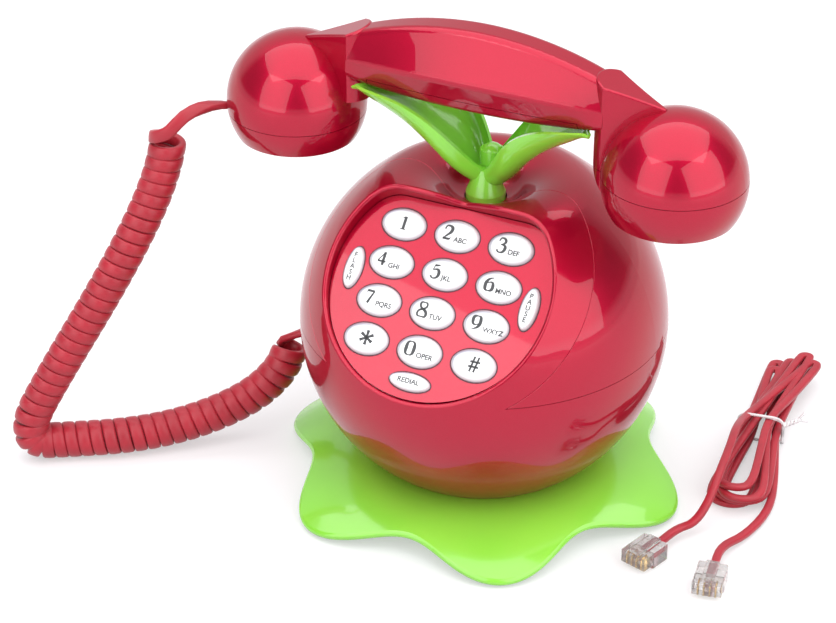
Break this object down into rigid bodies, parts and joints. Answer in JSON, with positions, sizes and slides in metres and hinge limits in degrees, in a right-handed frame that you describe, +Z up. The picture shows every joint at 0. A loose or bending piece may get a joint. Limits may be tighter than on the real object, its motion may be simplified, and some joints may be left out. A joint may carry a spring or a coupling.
{
  "type": "novelty corded telephone",
  "caption": "Fruit-shaped desk telephone with a push-button keypad, a leaf cradle for its corded handset, a petal base and a hanked line cord with modular plugs.",
  "frame": {"origin": "on the floor, below the middle of the fruit body", "axes": "+Z up, -Y towards the user (the keypad's side), +X to the user's right"},
  "size_m": [0.2428, 0.1701, 0.1657],
  "materials": {
    "red_shell": "pearly crimson gloss",
    "leaf_green": "lime gloss",
    "key_white": "white with clear rims",
    "soft_rubber": "matt",
    "steel": "plated",
    "weight_iron": "dull",
    "circuit_board": "lacquered board",
    "black_plastic": "matt",
    "red_cord": "satin",
    "clear_plug": "clear",
    "tie_white": "matt"
  },
  "bodies": {
    "body": {"base_saucer": "leaf_green", "rubber_feet": "soft_rubber", "front_shell": "red_shell", "rear_shell": "red_shell", "keypad_plate": "red_shell", "line_jack": "black_plastic", "body_gland": "red_cord", "ballast_weight": "weight_iron", "base_screws": "steel", "shell_screws": "steel", "key_mat": "soft_rubber", "keypad_board": "circuit_board", "keypad_board_screws": "steel", "main_board": "circuit_board", "main_board_screws": "steel", "ringer_speaker": "black_plastic", "hook_tower": "black_plastic", "hook_switch": "black_plastic", "hook_spring": "steel", "jack_bracket": "black_plastic", "curly_cord": "red_cord", "line_cord_hank": "red_cord", "line_tail_left": "red_cord", "line_tail_right": "red_cord", "line_plug_left": "clear_plug", "line_plug_right": "clear_plug", "twist_tie": "tie_white"},
    "cradle": {"cradle_leaves": "leaf_green", "stem_knob": "leaf_green", "cradle_clip": "steel"},
    "handset": {"handset_shell": "red_shell", "handset_belly": "red_shell", "receiver_cap": "red_shell", "mouthpiece_cap": "red_shell", "handset_screws": "steel", "receiver_gasket": "soft_rubber", "receiver_capsule": "black_plastic", "microphone_holder": "soft_rubber", "microphone_capsule": "black_plastic", "handset_weight": "weight_iron", "handset_gland": "red_cord"},
    "key_1_body": {"key_1": "key_white"},
    "key_2_body": {"key_2": "key_white"},
    "key_3_body": {"key_3": "key_white"},
    "key_4_body": {"key_4": "key_white"},
    "key_5_body": {"key_5": "key_white"},
    "key_6_body": {"key_6": "key_white"},
    "key_7_body": {"key_7": "key_white"},
    "key_8_body": {"key_8": "key_white"},
    "key_9_body": {"key_9": "key_white"},
    "key_star_body": {"key_star": "key_white"},
    "key_0_body": {"key_0": "key_white"},
    "key_hash_body": {"key_hash": "key_white"},
    "key_flash_body": {"key_flash": "key_white"},
    "key_pause_body": {"key_pause": "key_white"},
    "key_redial_body": {"key_redial": "key_white"}
  },
  "joints": [
    {"name": "cradle_hook", "type": "slide", "parent": "body", "child": "cradle", "axis": [0, 0, 1], "range_m": [0, 0.003], "stiffness_N_per_m": 150, "springref_m": 0.006, "deforming": ["hook_spring"]},
    {"name": "handset_lift", "type": "slide", "parent": "cradle", "child": "handset", "axis": [0, 0, 1], "range_m": [0, 0.11], "deforming": ["curly_cord"]},
    {"name": "key_1_press", "type": "slide", "parent": "body", "child": "key_1_body", "axis": [0, 0.712, -0.7021], "range_m": [0, 0.0015], "stiffness_N_per_m": 400, "springref_m": -0.0005},
    {"name": "key_2_press", "type": "slide", "parent": "body", "child": "key_2_body", "axis": [0, 0.712, -0.7021], "range_m": [0, 0.0015], "stiffness_N_per_m": 400, "springref_m": -0.0005},
    {"name": "key_3_press", "type": "slide", "parent": "body", "child": "key_3_body", "axis": [0, 0.712, -0.7021], "range_m": [0, 0.0015], "stiffness_N_per_m": 400, "springref_m": -0.0005},
    {"name": "key_4_press", "type": "slide", "parent": "body", "child": "key_4_body", "axis": [0, 0.712, -0.7021], "range_m": [0, 0.0015], "stiffness_N_per_m": 400, "springref_m": -0.0005},
    {"name": "key_5_press", "type": "slide", "parent": "body", "child": "key_5_body", "axis": [0, 0.712, -0.7021], "range_m": [0, 0.0015], "stiffness_N_per_m": 400, "springref_m": -0.0005},
    {"name": "key_6_press", "type": "slide", "parent": "body", "child": "key_6_body", "axis": [0, 0.712, -0.7021], "range_m": [0, 0.0015], "stiffness_N_per_m": 400, "springref_m": -0.0005},
    {"name": "key_7_press", "type": "slide", "parent": "body", "child": "key_7_body", "axis": [0, 0.712, -0.7021], "range_m": [0, 0.0015], "stiffness_N_per_m": 400, "springref_m": -0.0005},
    {"name": "key_8_press", "type": "slide", "parent": "body", "child": "key_8_body", "axis": [0, 0.712, -0.7021], "range_m": [0, 0.0015], "stiffness_N_per_m": 400, "springref_m": -0.0005},
    {"name": "key_9_press", "type": "slide", "parent": "body", "child": "key_9_body", "axis": [0, 0.712, -0.7021], "range_m": [0, 0.0015], "stiffness_N_per_m": 400, "springref_m": -0.0005},
    {"name": "key_star_press", "type": "slide", "parent": "body", "child": "key_star_body", "axis": [0, 0.712, -0.7021], "range_m": [0, 0.0015], "stiffness_N_per_m": 400, "springref_m": -0.0005},
    {"name": "key_0_press", "type": "slide", "parent": "body", "child": "key_0_body", "axis": [0, 0.712, -0.7021], "range_m": [0, 0.0015], "stiffness_N_per_m": 400, "springref_m": -0.0005},
    {"name": "key_hash_press", "type": "slide", "parent": "body", "child": "key_hash_body", "axis": [0, 0.712, -0.7021], "range_m": [0, 0.0015], "stiffness_N_per_m": 400, "springref_m": -0.0005},
    {"name": "key_flash_press", "type": "slide", "parent": "body", "child": "key_flash_body", "axis": [0, 0.712, -0.7021], "range_m": [0, 0.0015], "stiffness_N_per_m": 400, "springref_m": -0.0005},
    {"name": "key_pause_press", "type": "slide", "parent": "body", "child": "key_pause_body", "axis": [0, 0.712, -0.7021], "range_m": [0, 0.0015], "stiffness_N_per_m": 400, "springref_m": -0.0005},
    {"name": "key_redial_press", "type": "slide", "parent": "body", "child": "key_redial_body", "axis": [0, 0.712, -0.7021], "range_m": [0, 0.0015], "stiffness_N_per_m": 400, "springref_m": -0.0005}
  ]
}
